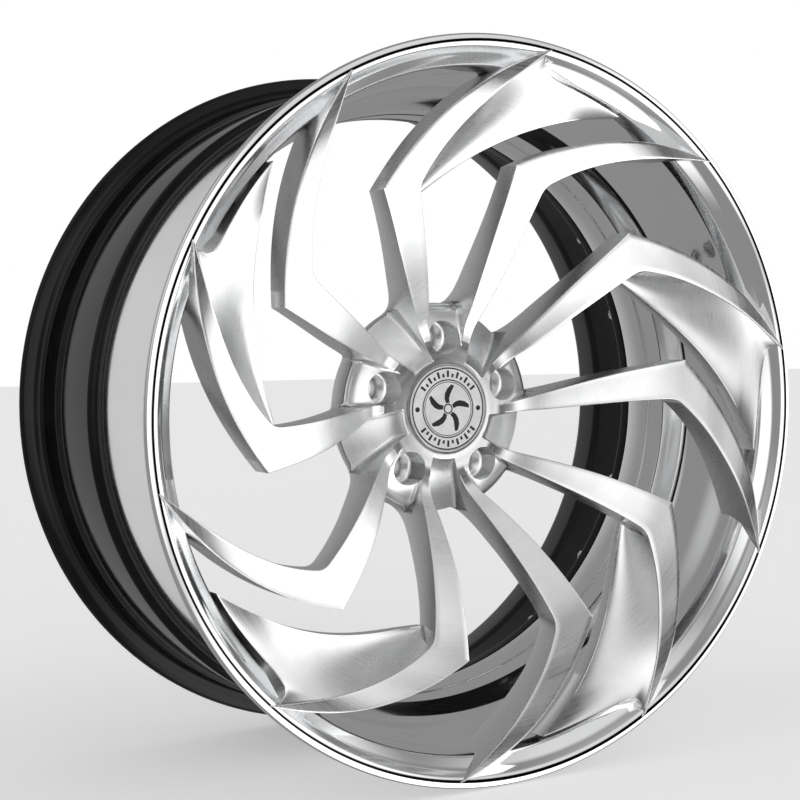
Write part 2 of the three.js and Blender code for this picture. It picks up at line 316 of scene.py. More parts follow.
def polished_aluminium(name, tone, rough):
    """Mirror-polished aluminium with faint turning rings and a few hazy patches."""
    m = Nodes(name, Metallic=1.0, Roughness=rough)
    spot, radius, angle, y = m.coordinates()
    rings = m.noise(m.vector(m.math("MULTIPLY", radius, 900.0), m.math("MULTIPLY", angle, 2.0),
                             m.math("MULTIPLY", y, 900.0)), 1.0, 2.0, 0.5)
    haze = m.noise(spot, 14.0, 4.0, 0.6)
    m.link(m.mix(m.spread(haze, 0.35, 0.7, 0.0, 1.0), grey(tone, 0.004),
                 grey(tone * 0.95, 0.006)), "Base Color")
    m.link(m.math("ADD", m.spread(haze, 0.3, 0.75, rough * 0.7, rough * 1.5),
                  m.spread(rings, 0.3, 0.7, 0.0, 0.015)), "Roughness")
    m.bump(rings, 0.05, 0.00004)
    return m.material


def gloss_black(name, rough):
    """Gloss black powder coat: deep black under a clear coat with a slight orange peel."""
    m = Nodes(name, Metallic=0.0, Roughness=rough, Specular_IOR_Level=0.16, Coat_Weight=0.12,
              Coat_Roughness=0.04)
    spot, radius, angle, y = m.coordinates()
    peel = m.noise(spot, 420.0, 2.0, 0.5)
    dust = m.noise(spot, 30.0, 5.0, 0.65)
    m.link(m.mix(m.spread(dust, 0.45, 0.75, 0.0, 1.0), grey(0.0035), grey(0.009, 0.0006)),
           "Base Color")
    m.link(m.spread(dust, 0.3, 0.75, rough * 0.8, rough * 1.6), "Roughness")
    m.bump(peel, 0.08, 0.00008)
    return m.material


def plain_metal(name, colour, rough, metallic=1.0, scale=90.0, grain=900.0):
    """Small hardware: a base colour with tone changes, fine grain and paler worn edges."""
    m = Nodes(name, Metallic=metallic, Roughness=rough)
    spot = m.coordinates()[0]
    mottle = m.noise(spot, scale, 4.0, 0.6)
    fine = m.noise(spot, grain, 3.0, 0.6)
    worn = m.spread(m.node("ShaderNodeNewGeometry").outputs["Pointiness"], 0.53, 0.62, 0.0, 0.6)
    dark = tuple(c * 0.82 for c in colour) + (1.0,)
    pale = tuple(min(c * 1.3 + 0.02, 1.0) for c in colour) + (1.0,)
    shade = m.mix(m.spread(mottle, 0.3, 0.7, 0.0, 1.0), tuple(colour) + (1.0,), dark)
    m.link(m.mix(worn, shade, pale), "Base Color")
    m.link(m.spread(mottle, 0.25, 0.75, rough * 0.8, rough * 1.3), "Roughness")
    m.bump(fine, 0.1, 0.00006)
    return m.material


CENTRE = brushed_aluminium("centre_brushed", 0.86, 0.30)
POLISHED = polished_aluminium("outer_polished", 0.9, 0.07)
BLACK = gloss_black("inner_gloss_black", 0.09)
STEEL = plain_metal("bolt_steel", (0.56, 0.57, 0.58), 0.28)
CAP_METAL = brushed_aluminium("cap_metal", 0.8, 0.3)
PRINT_BASE = plain_metal("cap_print_base", (0.94, 0.94, 0.945), 0.4, 0.0, 60.0, 1400.0)
PRINT_BLACK = plain_metal("cap_print_black", (0.012, 0.012, 0.013), 0.35, 0.0, 200.0, 1600.0)
SPRING = plain_metal("spring_steel", (0.42, 0.43, 0.44), 0.3)
NICKEL = plain_metal("valve_nickel", (0.68, 0.675, 0.65), 0.2)
BRASS = plain_metal("valve_brass", (0.62, 0.46, 0.2), 0.3)
RUBBER = plain_metal("valve_rubber", (0.018, 0.018, 0.018), 0.75, 0.0, 300.0, 2200.0)
SEALANT = plain_metal("joint_sealant", (0.02, 0.02, 0.022), 0.5, 0.0, 120.0, 700.0)

# ---- Forged centre ----

# The street face and the back of the spokes: depths in mm against the radius in mm.
FACE = spline([
    (44, 93.0), (52, 93.4), (60, 93.0), (66, 92.0), (72, 89.9), (80, 84.6), (88, 78.1), (104, 66.7),
    (120, 56.2), (136, 46.7), (152, 38.2), (168, 30.5), (184, 23.9), (200.3, 18.2), (216, 12.8),
    (232, 7.7), (252, 1.2), (264, -1.6), (278, -2.9), (293.4, -3.35),
])
BACK = spline([
    (80, 134), (89, 131), (94, 121), (103.9, 106.3), (120, 91.6), (135.9, 78.7), (151.7, 67.4),
    (167.6, 57.7), (183.8, 49.7), (199.6, 43.2), (215, 40), (236, 38.5), (276, 38),
])
FOOT_RADII = [276, 280, 284, 289.6, 293.5]
FOOT_DEPTHS = [38, 10.4, 7.0, 0.4, -1.7]


def face_depth(r):
    return np.maximum(FACE(r), -3.35)


def under_depth(r):
    """The underside: the back of the spoke, then the lip that the tip lies on."""
    return np.where(r < 276, BACK(r), np.interp(r, FOOT_RADII, FOOT_DEPTHS))


# Plan curves of one spoke: the limb's two edges by radius, then the arm's two edges by angle.
LIMB_OUTER = spline([
    (0.145, -17.6), (0.19, -20.1), (0.24, -22.6), (0.294, -25.22), (0.347, -27.08), (0.401, -28.31),
    (0.455, -29.03), (0.508, -29.36), (0.562, -29.44), (0.615, -29.4), (0.6692, -29.34),
])
LIMB_INNER = spline([
    (0.145, -10.0), (0.19, -12.5), (0.24, -14.59), (0.287, -16.04), (0.335, -17.2), (0.383, -18.12),
    (0.43, -18.8), (0.477, -19.28), (0.525, -19.58), (0.573, -19.73), (0.633, -19.7),
])
ARM_OUTER = spline([
    (-29.34, 0.6692), (-24.97, 0.7013), (-20.16, 0.7389), (-15.35, 0.778), (-10.54, 0.8183),
    (-5.73, 0.8591), (-0.92, 0.9), (3.89, 0.9404), (8.7, 0.9799),
])
ARM_INNER = spline([
    (-19.7, 0.633), (-15.84, 0.6789), (-12.34, 0.7196), (-8.83, 0.7593), (-5.33, 0.7989),
    (-1.82, 0.8397), (1.69, 0.8824), (5.19, 0.9283), (8.7, 0.9792),
])
LIMB_START = 0.155
ELBOW_ROUND = 7.0  # how far from the inner corner its rounding starts, in mm


def along(points, distances):
    """Points at given distances along a polyline."""
    steps = np.r_[0, np.cumsum(np.linalg.norm(np.diff(points, axis=0), axis=1))]
    return np.stack([np.interp(distances, steps, points[:, i]) for i in (0, 1)], -1)


def length(points):
    return float(np.linalg.norm(np.diff(points, axis=0), axis=1).sum())


def spoke_edges():
    """Matching rows of plan points on the outer and the inner edge of one spoke, and the elbow's row."""
    radii = np.linspace(LIMB_START, 0.6692, 120)
    outer_limb = plan(radii, LIMB_OUTER(radii))
    angles = np.linspace(-29.34, 8.7, 160)
    outer_arm = plan(ARM_OUTER(angles), angles)
    radii = np.linspace(LIMB_START, 0.633, 160)
    inner_limb = plan(radii, LIMB_INNER(radii))
    angles = np.linspace(-19.7, 8.7, 200)
    inner_arm = plan(ARM_INNER(angles), angles)
    corner = inner_limb[-1]
    limb_part = along(inner_limb, np.linspace(0, length(inner_limb) - ELBOW_ROUND, 120))
    arm_part = along(inner_arm, np.linspace(ELBOW_ROUND, length(inner_arm), 160))
    t = np.linspace(0, 1, 17)[:, None]
    bend = (1 - t) ** 2 * limb_part[-1] + 2 * t * (1 - t) * corner + t * t * arm_part[0]
    inner_first = np.vstack([limb_part, bend[1:9]])
    inner_second = np.vstack([bend[8:], arm_part[1:]])
    spread_limb = np.r_[np.linspace(0, 0.955, 44), np.linspace(0.962, 1, 8)]
    spread_arm = np.r_[np.linspace(0, 0.04, 8), np.linspace(0.052, 0.97, 52), 0.982, 0.991, 0.997]
    outer = np.vstack([
        along(outer_limb, spread_limb * length(outer_limb)),
        along(outer_arm, spread_arm[1:] * length(outer_arm)),
    ])
    inner = np.vstack([
        along(inner_first, spread_limb * length(inner_first)),
        along(inner_second, spread_arm[1:] * length(inner_second)),
    ])
    return outer, inner


def spoke_part():
    """One spoke as a closed sweep: bevelled face, walls and back, from inside the hub to its tip."""
    outer, inner = spoke_edges()
    rows = []
    bevel_steps = np.linspace(0, math.pi / 2, 4)
    for a, b in zip(outer, inner):
        width = float(np.linalg.norm(b - a))
        unit = (b - a) / width
        middle = float(np.linalg.norm((a + b) / 2))
        height = float(under_depth(middle) - face_depth(middle))
        bevel = min(0.8, 0.28 * width, 0.3 * height)
        root = 0.45 * (1 - smoothstep(middle, 53, 62))
        ring = []

        def add(offset, drop, depth=face_depth):
            p = a + unit * offset
            ring.append((p[0], p[1], float(depth(np.linalg.norm(p))) + drop))

        for s in bevel_steps:
            add(bevel * (1 - math.cos(s)), root + bevel * (1 - math.sin(s)))
        for f in (0.15, 0.32, 0.5, 0.68, 0.85):
            add(bevel + (width - 2 * bevel) * f, root)
        for s in bevel_steps[::-1]:
            add(width - bevel * (1 - math.cos(s)), root + bevel * (1 - math.sin(s)))
        under = bevel * 0.7
        add(width, -under, under_depth)
        add(width - under, 0, under_depth)
        add(width * 0.5, 0, under_depth)
        add(under, 0, under_depth)
        add(0, -under, under_depth)
        rows.append(ring)
    rows = np.array(rows)
    points = place(rows[..., 0], rows[..., 1], rows[..., 2])
    count = rows.shape[1]
    faces = grid_faces(len(rows), count, False, True)
    faces.append(tuple(range(count)))
    faces.append(tuple((len(rows) - 1) * count + i for i in reversed(range(count))))
    return points, faces


# The webs: a ridge under the arm's inner edge, and a free edge as (fraction, degrees, depth / radius).
WEB_EDGE = [
    (0.5985, -19.2, 0.1527), (0.6195, -13.78, 0.1473), (0.6502, -7.98, 0.135),
    (0.6865, -2.19, 0.118), (0.7263, 3.61, 0.0986), (0.7683, 9.41, 0.0789),
    (0.8121, 15.21, 0.0613), (0.8582, 21.0, 0.0481), (0.9077, 26.8, 0.0413),
]
SCOOP_POWER = 1.9
# The web's end, from the arm's edge round the end of the slot and along it: (across, fraction, degrees).
WEB_END = [
    (0.0, 0.964, 7.65), (0.03, 0.948, 7.7), (0.06, 0.932, 7.85), (0.09, 0.9195, 8.6),
    (0.14, 0.9115, 10.1), (0.22, 0.9083, 11.9), (0.4, 0.9062, 15.4), (0.7, 0.9062, 21.1),
    (1.0, 0.9077, 26.8),
]
WEB_END_STARTS = 0.82
TYRE_SIDE_RADII = [272, 279, 281.5, 284, 290, 293.5]
TYRE_SIDE_DEPTHS = [60, 30, 12, 8.5, 7, 4]


def web_part():
    spacing = np.linspace(0, 1, len(WEB_EDGE))
    edge_of = [spline(list(zip(spacing, [w[i] for w in WEB_EDGE]))) for i in range(3)]
    end_of = [spline([(w[0], w[i]) for w in WEB_END]) for i in (1, 2)]
    stations = np.r_[np.linspace(0, 0.94, 40), np.linspace(0.955, 1, 8)]
    ridge_angles = np.interp(stations, [0, 1], [-18.4, 7.65])
    rows = []
    for s, angle in zip(stations, ridge_angles):
        ridge = plan(ARM_INNER(angle), angle)
        edge = plan(edge_of[0](s), edge_of[1](s))
        unit = (edge - ridge) / np.linalg.norm(edge - ridge)
        bent = float(smoothstep(s, WEB_END_STARTS, 1.0))

        def across(v):
            straight = ridge + (edge - ridge) * v
            return straight + (plan(end_of[0](v), end_of[1](v)) - straight) * bent

        def under(p, depth):
            return min(depth, float(np.interp(np.linalg.norm(p), TYRE_SIDE_RADII, TYRE_SIDE_DEPTHS)))

        ridge_depth = float(face_depth(np.linalg.norm(ridge))) + 1.3
        edge_depth = float(edge_of[2](s)) * FLANGE_RADIUS
        thick = 8.5 + 9 * s
        ring = [(*(ridge - unit * 4), ridge_depth + 0.4)]
        for v in np.r_[0, 0.015, 0.03, 0.045, 0.06, 0.075, 0.09, 0.115, 0.14, 0.18,
                       np.linspace(0.25, 0.93, 11), 0.97, 0.99]:
            p = across(v)
            fall = 1 - (1 - v) ** SCOOP_POWER
            ring.append((*p, ridge_depth + (edge_depth - ridge_depth) * fall))
        ring.append((*(edge - unit * 0.25), edge_depth + 0.1))
        ring.append((*edge, edge_depth + 0.7))
        ring.append((*(edge - unit * 0.1), edge_depth + thick - 0.8))
        ring.append((*(edge - unit * 0.9), edge_depth + thick))
        for v in (0.8, 0.6, 0.4, 0.22, 0.14, 0.1, 0.075, 0.05, 0.025):
            p = across(v)
            fall = 1 - (1 - v) ** 1.5
            belly = ridge_depth + thick * 1.2 + (edge_depth - ridge_depth) * fall * 0.98
            ring.append((*p, under(p, belly)))
        root = ridge - unit * 4
        ring.append((*root, under(root, ridge_depth + thick)))
        rows.append(ring)
    rows = np.array(rows)
    points = place(rows[..., 0], rows[..., 1], rows[..., 2])
    count = rows.shape[1]
    faces = grid_faces(len(rows), count, False, True)
    faces.append(tuple(range(count)))
    faces.append(tuple((len(rows) - 1) * count + i for i in reversed(range(count))))
    return points, faces


# The hub: a dome round the lug wells, and a rounded trough between every other pair of limbs.
DOME = spline([
    (36.9, 91.1), (44, 92.2), (52, 93.2), (60, 94.4), (68, 95.9), (75, 97.9), (81, 100.6), (86, 104.6),
    (90, 111.5),
])
TROUGH = spline([
    (42.4, 92.0), (44, 94.0), (48, 98.0), (57, 103.3), (66, 107.6), (80, 115.3), (95, 124.5),
])
HUB_EDGE = 89.0
CORNER_ROUND = 6.0
FLOOR_ROUND = 4.5


def hub_part():
    """The hub as one closed grid: columns follow the limbs' edges, rows run from the bore outwards."""
    columns = []  # (angle as a function of radius, kind, distance to the wall in mm)
    for pair in range(5):
        for side in (0, 1):
            base = pair * LUG_PITCH + side * SPOKE_PITCH
            kind = "trough" if side else "lug"
            columns += limb_columns(base)
            columns += pocket_columns(base, kind)
    rings = np.r_[np.linspace(37.5, 42.2, 4), 42.5, 42.9, 43.5, 44.5, 46, np.linspace(48, 84, 19)]
    spread_out = (rings - 37.5) / (HUB_EDGE - 37.5)
    grid = []
    for angle_of, kind, reach in columns:
        column = []
        edge = HUB_EDGE + corner(reach)
        radii = 37.5 + spread_out * (edge - 37.5)
        radii = np.r_[radii, edge - 2.6, edge - 1.2]
        heights = [hub_height(r, kind, reach) for r in radii]
        angles = [angle_of(r) for r in radii]
        top = heights[-1]
        under = float(BACK(edge)) if edge > 89 else 131.0
        profile = [(36.3, 134.4), (36.3, 114), (33.2, 112), (33.2, 93.4), (33.4, 93.2), (36.7, 93.2),
                   (36.9, 92.9), (36.9, 91.7), (37.1, 91.3)]
        column += [(r, angles[0], d) for r, d in profile]
        column += list(zip(radii, angles, heights))
        column += [(edge - 0.35, angles[-1], top + 0.5), (edge, angles[-1], top + 1.6)]
        column += [(edge, angles[-1], max(under - 1.2, top + 3))]
        column += [(edge - 1.2, angles[-1], max(under, top + 4))]
        column += [(79.5, angles[-1], 135), (60, angles[-1], 135), (37.2, angles[-1], 135)]
        grid.append(column)
    grid = np.array(grid, float)
    a = np.radians(grid[..., 1])
    points = place(grid[..., 0] * np.sin(a), grid[..., 0] * np.cos(a), grid[..., 2])
    return points, grid_faces(grid.shape[0], grid.shape[1], True, True)


def corner(reach):
    """How far the hub's outline runs out beside a limb, at a distance from its wall."""
    if reach >= CORNER_ROUND:
        return 0.0
    x = max(reach, 0.0)
    return CORNER_ROUND - math.sqrt(CORNER_ROUND**2 - (CORNER_ROUND - x) ** 2)


def hub_height(r, kind, reach):
    face = float(face_depth(r)) if r > 52 else float(DOME(r)) + (float(face_depth(52)) - float(DOME(52)))
    face = float(DOME(r)) if r < 46 else face * float(smoothstep(r, 46, 56)) + float(DOME(r)) * (
        1 - float(smoothstep(r, 46, 56)))
    buried = 2.5 * float(smoothstep(r, 57, 72))
    if kind == "limb":
        return face + buried
    floor = float(TROUGH(r)) if kind == "trough" and r > 42.4 else float(DOME(r))
    floor = max(floor, face)
    fillet = min(FLOOR_ROUND, floor - face)
    if reach <= 0:
        return min(face + buried, floor)
    if reach >= fillet or fillet < 1e-3:
        return floor
    x = fillet - reach
    return floor - (fillet - math.sqrt(max(fillet**2 - x**2, 0.0)))


def limb_columns(base):
    out = []
    for f in (0.12, 0.5, 0.88):
        def angle_of(r, f=f):
            q = max(r / FLANGE_RADIUS, 0.145)
            a, b = float(LIMB_OUTER(q)), float(LIMB_INNER(q))
            return base + a + (b - a) * f
        out.append((angle_of, "limb", -1.0))
    return out


def pocket_columns(base, kind):
    """Columns from the wall of one limb to the wall of the next."""
    near = [-0.05, 0.3, 0.8, 1.5, 2.4, 3.4, 4.6, 6.2]
    out = []

    def bounds_at(r):
        q = max(r / FLANGE_RADIUS, 0.145)
        return base + float(LIMB_INNER(q)), base + SPOKE_PITCH + float(LIMB_OUTER(q))

    def inset(r):
        return 0.5 * float(smoothstep(r, 57, 68))

    for x in near:
        def angle_of(r, x=x):
            gap = (x if x > 0 else x - inset(r)) * min(1.0, r / 50)
            return bounds_at(r)[0] + math.degrees(gap / r)
        out.append((angle_of, kind, x))
    for f in np.linspace(0.08, 0.92, 11):
        def angle_of(r, f=f):
            a, b = bounds_at(r)
            margin = math.degrees(near[-1] * min(1.0, r / 50) / r)
            return a + margin + (b - a - 2 * margin) * f
        out.append((angle_of, kind, 9.0))
    for x in near[::-1]:
        def angle_of(r, x=x):
            gap = (x if x > 0 else x - inset(r)) * min(1.0, r / 50)
            return bounds_at(r)[1] - math.degrees(gap / r)
        out.append((angle_of, kind, x))
    return out


def lug_cutters():
    profile = [(0.001, 55), (14.2, 55), (14.2, 116.6), (13.6, 117.5), (11.9, 117.9), (11.4, 118.4),
               (7.9, 124.6), (7.6, 125.4), (7.6, 133.8), (8.6, 135.6), (8.6, 140), (0.001, 140)]
    parts = []
    for k in range(5):
        points, faces = lathe(profile, 56)
        points = points + np.array([0, 0, LUG_CIRCLE * MM])
        parts.append((turn(points, LUG_START + k * LUG_PITCH), faces))
    return make("lug_cutters", parts)


def relief_cutters():
    profile = [(0.001, 129), (8.4, 129), (9.6, 129.8), (10.3, 131.2), (10.6, 134.6), (11.2, 135.4),
               (11.2, 140), (0.001, 140)]
    parts = []
    for k in range(5):
        points, faces = lathe(profile, 40)
        points = points + np.array([0, 0, (LUG_CIRCLE - 2) * MM])
        parts.append((turn(points, LUG_START + (k + 0.5) * LUG_PITCH), faces))
    return make("relief_cutters", parts)


spoke_points, spoke_faces = spoke_part()
spokes = make("spokes", [(turn(spoke_points, k * SPOKE_PITCH), spoke_faces) for k in range(10)])
web_points, web_faces = web_part()
webs = make("webs", [(turn(web_points, k * LUG_PITCH), web_faces) for k in range(5)])
hub = make("hub", [hub_part()])
lug_cutter = lug_cutters()
relief_cutter = relief_cutters()
subtract(hub, lug_cutter)
subtract(hub, relief_cutter)
subtract(spokes, lug_cutter)
discard(lug_cutter)
discard(relief_cutter)
centre = join([hub, spokes, webs], "forged_centre_finished")
finish_piece(centre, "wheel", ["forged_center"], CENTRE)

# ---- Rim halves ----

JOINT_DEPTH = 174.2  # where the two rim halves meet
OUTER_PROFILE = rounded([
    (293.5, -2.2), (298.2, -1.0), (299.25, 2.4), (297.6, 5.8), (290.5, 9.3), (284, 9.9),
    (281.8, 13.5), (280.1, 33), (281, 38), (279.3, 43), (271.2, 54), (271.2, JOINT_DEPTH - 1),
    (270.2, JOINT_DEPTH), (249.8, JOINT_DEPTH), (249.8, 144), (251, 142.6),
    (251.6, 123), (257, 113.5), (264.4, 100), (265.8, 62), (271.2, 38), (271.6, 25),
    (275.4, 12.9), (284.3, 5.9), (289.6, -0.9),
], 1.6, 4, {9: 6.0, 10: 6.0, 15: 0.8, 17: 6.0, 18: 8.0, 19: 14.0, 20: 8.0, 21: 3.0, 22: 2.0,
            23: 2.2, 24: 2.2})
outer_half = make("outer_half_finished", [lathe(OUTER_PROFILE, 240)], 50.0)
INNER_PROFILE = rounded([
    (249.8, 174.6), (271, 174.6), (272.4, 178), (278.4, 181.5), (278, 250), (281, 257),
    (279.9, 263.5), (281.8, 284.5), (284, 288.1), (290.5, 288.9), (297.6, 292.4), (299.25, 296.6),
    (297.6, 300.6), (295, 301.35), (287.5, 301.35), (282, 299.4), (273.3, 289.6), (269.6, 258),
    (271.4, 251), (271.4, 194), (267.5, 186.6), (251, 186.6), (249.8, 185),
], 1.6, 4, {3: 2.5, 16: 4.0, 17: 4.0, 19: 4.0, 20: 2.5})
inner_half = make("inner_half_finished", [lathe(INNER_PROFILE, 240)], 50.0)


def radial_tube(radius, low, high, angle, depth, segments):
    """A closed cylinder along a wheel radius, for cutting the valve hole."""
    a = np.arange(segments) * 2 * math.pi / segments
    ring = np.stack([radius * np.cos(a), radius * np.sin(a)], -1)
    rows = np.array([[(c[0], FLANGE_PLANE + depth + c[1], h) for c in ring] for h in (low, high)])
    faces = grid_faces(2, segments, False, True)
    faces.append(tuple(range(segments)))
    faces.append(tuple(segments + i for i in reversed(range(segments))))
    return turn(rows * MM, angle), faces


VALVE_ANGLE = 63.75
VALVE_DEPTH = 72.0
hole = make("valve_hole_cutter", [radial_tube(4.5, 250, 285, VALVE_ANGLE, VALVE_DEPTH, 40)])
subtract(outer_half, hole)
discard(hole)
outer_half.data.set_sharp_from_angle(angle=math.radians(50))
finish_piece(outer_half, "wheel", ["outer_rim_half"], POLISHED)
finish_piece(inner_half, "wheel", ["inner_rim_half"], BLACK)

bead = make("joint_seal_finished", [lathe(rounded([
    (271.3, 170.4), (272.6, 171.2), (273.3, 173.4), (272.7, 175.4), (271.4, 174.6),
], 1.0, 4), 240)])
finish_piece(bead, "wheel", ["joint_seal_bead"], SEALANT)

# ---- Assembly bolts ----

BOLT_CIRCLE = 258.8


def bolt_part():
    """A twelve-point flange bolt along +Y, centred on the spin axis."""
    seat = 187.0
    shank = lathe(rounded([(0.01, 160.1), (3.4, 160.1), (3.95, 161), (3.95, seat + 0.6),
                           (0.01, seat + 0.6)], 0.3, 2), 24)
    flange = lathe(rounded([(0.01, seat), (6.6, seat), (6.95, seat + 0.7), (6.4, seat + 1.7),
                            (4.6, seat + 2.3), (0.01, seat + 2.3)], 0.4, 3), 40)
    teeth = 12
    angles = np.arange(teeth * 4) * 2 * math.pi / (teeth * 4)
    wave = 4.75 + 0.5 * np.cos(angles * teeth)
    rows = []
    for depth, scale in ((seat + 1.6, 1.0), (seat + 7.9, 1.0), (seat + 8.6, 0.93), (seat + 8.9, 0.82),
                         (seat + 8.9, 0.5), (seat + 8.1, 0.42), (seat + 8.1, 0.02)):
        rows.append(np.stack([wave * scale * np.sin(angles), np.full(len(angles), depth),
                              wave * scale * np.cos(angles)], -1))
    rows = np.array(rows)
    head = place(rows[..., 0], rows[..., 2], rows[..., 1])
    faces = grid_faces(len(rows), len(angles), False, True)
    faces.append(tuple(range(len(angles))))
    faces.append(tuple((len(rows) - 1) * len(angles) + i for i in reversed(range(len(angles)))))
    return [shank, flange, (head, faces)]


bolt_parts = bolt_part()
for k in range(20):
    shift = np.array([0, 0, BOLT_CIRCLE * MM])
    bolt = make(f"bolt_finished_{k + 1:02d}",
                [(turn(p + shift, k * 18.0), f) for p, f in bolt_parts])
    finish_piece(bolt, "wheel", [f"assembly_bolt_{k + 1:02d}"], STEEL)

# ---- Centre cap ----

cap = make("cap_finished", [lathe(rounded([
    (0.01, 90.7), (34.9, 90.7), (35.1, 89.9), (35.9, 89.8), (36.45, 90.4), (36.45, 93), (32.8, 93),
    (32.8, 99.5), (32, 99.5), (32, 101.7), (32.8, 101.7), (32.8, 106), (30.4, 106), (30.4, 94),
    (0.01, 94),
], 0.3, 3), 160)])
finish_piece(cap, "cap", ["center_cap"], CAP_METAL)
disc = make("cap_disc_finished", [lathe(rounded([
    (0.01, 89.75), (10, 89.76), (22, 89.8), (34.2, 89.92), (34.95, 90.15), (34.95, 90.5), (0.01, 90.5),
], 0.2, 3), 160)], 50.0)
finish_piece(disc, "cap", ["cap_emblem_disc"], PRINT_BASE)
ring = make("cap_ring_finished", [lathe(rounded([
    (32.3, 100.1), (32.75, 100.1), (32.85, 100.35), (32.85, 100.85), (32.75, 101.1), (32.3, 101.1),
], 0.15, 2), 120)])
finish_piece(ring, "cap", ["cap_spring_ring"], SPRING)


def print_depth(r):
    """The printed layer lies just proud of the gently domed disc."""
    return np.interp(r, [0, 10, 22, 34.2], [89.7, 89.7, 89.74, 89.86])


def flat_print(outline):
    """A thin closed print from an outline of plan points in mm."""
    outline = np.array(outline, float)
    depth = print_depth(np.linalg.norm(outline, axis=1))
    top = place(outline[:, 0], outline[:, 1], depth)
    base = place(outline[:, 0], outline[:, 1], depth + 0.14)
    n = len(outline)
    faces = [tuple(range(n)), tuple(n + i for i in reversed(range(n)))]
    faces += [(i, (i + 1) % n, n + (i + 1) % n, n + i) for i in range(n)]
    return np.vstack([top, base]), faces


def print_ring(inner, outer):
    depth_in, depth_out = float(print_depth(inner)), float(print_depth(outer))
    return lathe([(inner, depth_in), (outer, depth_out), (outer, depth_out + 0.14),
                  (inner, depth_in + 0.14)], 160)


def arc_points(r, start, stop, count):
    return [tuple(p) for p in plan(np.full(count, r / FLANGE_RADIUS), np.linspace(start, stop, count))]


def print_block(r0, r1, start, stop):
    return flat_print(arc_points(r0, start, stop, 6) + arc_points(r1, stop, start, 6))


def blade(angle):
    """One swept blade of the pinwheel in the middle of the cap."""
    front = [tuple(plan(r / FLANGE_RADIUS, angle + t)) for r, t in (
        (5.2, -24), (9, -22), (13, -14), (17, -3), (20.6, 9))]
    back = [tuple(plan(r / FLANGE_RADIUS, angle + t)) for r, t in (
        (20.2, 17), (16, 14), (12, 9), (8.6, 6), (5.2, 16))]
    return flat_print(front + back)


prints = [print_ring(33.5, 34.6), print_ring(23.7, 24.7), print_ring(22.2, 22.8), print_ring(3.2, 4.3)]
for sweep in (-1, 1):
    middle = 90 - sweep * 90
    for i in range(-6, 7):
        at = middle + i * 9.0
        long_tick = i % 2 == 0
        prints.append(print_block(26.6, 32.0 if long_tick else 29.6, at - 2.0, at + 2.0))
for x in (-29.4, 29.4):
    dot = [(x + 2.1 * math.cos(t), 2.1 * math.sin(t)) for t in np.linspace(0, 2 * math.pi, 25)[:-1]]
    prints.append(flat_print(dot))
prints += [blade(72.0 * i) for i in range(5)]
art = make("cap_print_finished", prints, 30.0)
finish_piece(art, "cap", [], PRINT_BLACK)

# ---- Valve ----


def valve_lathe(profile, segments, closed=True):
    """A [radius, height] profile turned round the valve's axis; heights are wheel radii in mm."""
    profile = np.array(profile, float)
    a = np.arange(segments) * 2 * math.pi / segments
    x = np.outer(np.cos(a), profile[:, 0])
    y = np.outer(np.sin(a), profile[:, 0]) + FLANGE_PLANE + VALVE_DEPTH
    z = np.broadcast_to(profile[None, :, 1], x.shape)
    points = np.stack([x, y, z], -1) * MM
    return turn(points, VALVE_ANGLE), grid_faces(segments, len(profile), True, closed)


def thread(radius, low, high, pitch=0.9, depth=0.28):
    """Corners of a shallow threaded stretch, as stacked grooves."""
    out = []
    z = low
    while z + pitch <= high + 1e-9:
        out += [(radius, z), (radius, z + pitch * 0.35), (radius - depth, z + pitch * 0.6),
                (radius - depth, z + pitch * 0.75)]
        z += pitch
    return out


stem = make("valve_stem_finished", [valve_lathe(
    [(1.9, 235.2), (3.3, 235.2), (3.75, 235.8)] + thread(3.85, 236.2, 269.5)
    + [(4.05, 270), (4.05, 273.4), (7.0, 273.5), (7.15, 274.2), (6.9, 275.3), (6.3, 275.95),
       (1.9, 275.95)], 40)], 40.0)
finish_piece(stem, "wheel", ["valve_stem"], NICKEL)
seal = make("valve_seal_finished", [valve_lathe(rounded(
    [(4.3, 271.0), (7.3, 271.0), (7.4, 273.3), (4.3, 273.3)], 0.5, 4), 48)])
finish_piece(seal, "wheel", ["valve_seal"], RUBBER)


def hex_nut():
    """A chamfered hexagon nut on the valve's axis."""
    rows = []
    angles = np.arange(48) * 2 * math.pi / 48
    flat = np.array([1 / math.cos((t % (math.pi / 3)) - math.pi / 6) for t in angles])
    for height, bound, radius in ((259.1, 6.3, None), (259.35, 6.9, None), (260.1, 8.0, None),
                                  (263.0, 8.0, None), (263.75, 7.2, None), (263.85, 6.6, None),
                                  (263.85, None, 4.9), (263.4, None, 4.4), (259.5, None, 4.4),
                                  (259.1, None, 4.9)):
        reach = np.full(48, radius) if radius else np.minimum(6.9 * flat, bound)
        rows.append(np.stack([reach * np.cos(angles),
                              reach * np.sin(angles) + FLANGE_PLANE + VALVE_DEPTH,
                              np.full(48, height)], -1))
    points = np.array(rows) * MM
    return turn(points, VALVE_ANGLE), grid_faces(len(rows), 48, True, True)


nut = make("valve_nut_finished", [hex_nut()], 25.0)
finish_piece(nut, "wheel", ["valve_nut"], NICKEL)
core = make("valve_core_finished", [valve_lathe(rounded(
    [(1.0, 238), (1.6, 238), (1.6, 244), (1.35, 244.6), (1.35, 249), (1.6, 249.6), (1.6, 258),
     (1.0, 258)], 0.15, 2), 32)])
finish_piece(core, "wheel", ["valve_core"], BRASS)
pin = make("valve_pin_finished", [valve_lathe(
    [(0.005, 235.95), (0.5, 235.95), (0.68, 236.15), (0.68, 236.9), (0.45, 237.2), (0.45, 259.4),
     (0.65, 259.6), (0.65, 259.9), (0.005, 259.9)], 24)])
finish_piece(pin, "valve_pin", ["valve_core_pin"], BRASS)


